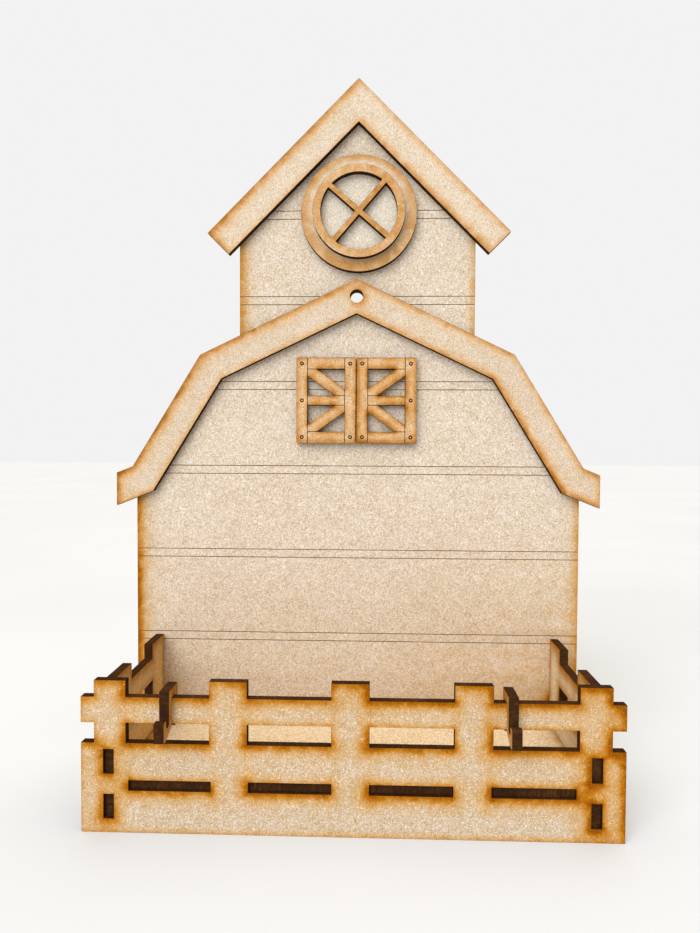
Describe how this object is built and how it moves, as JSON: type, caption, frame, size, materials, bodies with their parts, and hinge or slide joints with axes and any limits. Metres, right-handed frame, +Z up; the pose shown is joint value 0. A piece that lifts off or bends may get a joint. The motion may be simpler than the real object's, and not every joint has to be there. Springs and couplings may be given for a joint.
{
  "type": "craft barn box",
  "caption": "Barn-shaped back board of thin fibreboard with a fence-sided crate along its foot and loose hooks astride the front rail.",
  "frame": {"origin": "on the table, under the middle of the overall box, hooks included", "axes": "+Z up, +X to the viewer's right, -Y towards the viewer"},
  "size_m": [0.1784, 0.0648, 0.252],
  "materials": {
    "fibreboard": "bare, faintly flecked, scorched amber near its cut edges",
    "scorched_fibreboard": "bare, scorched amber all over",
    "charred_fibreboard": "bare, mostly charred cut edge"
  },
  "bodies": {
    "box": {"back_board": "fibreboard", "barn_roof_trim": "fibreboard", "tower_roof_trim": "fibreboard", "window_disc": "scorched_fibreboard", "window_ring": "scorched_fibreboard", "left_shutter": "scorched_fibreboard", "right_shutter": "scorched_fibreboard", "front_fence": "fibreboard", "left_fence": "fibreboard", "right_fence": "fibreboard", "floor": "fibreboard"},
    "left_hook": {"left_hook": "charred_fibreboard"},
    "right_hook": {"right_hook": "charred_fibreboard"}
  },
  "joints": [
    {"name": "left_hook_slide", "type": "slide", "parent": "box", "child": "left_hook", "axis": [1, 0, 0], "range_m": [-0.0111, 0.0111]},
    {"name": "right_hook_slide", "type": "slide", "parent": "box", "child": "right_hook", "axis": [1, 0, 0], "range_m": [-0.0036, 0.0186]}
  ]
}
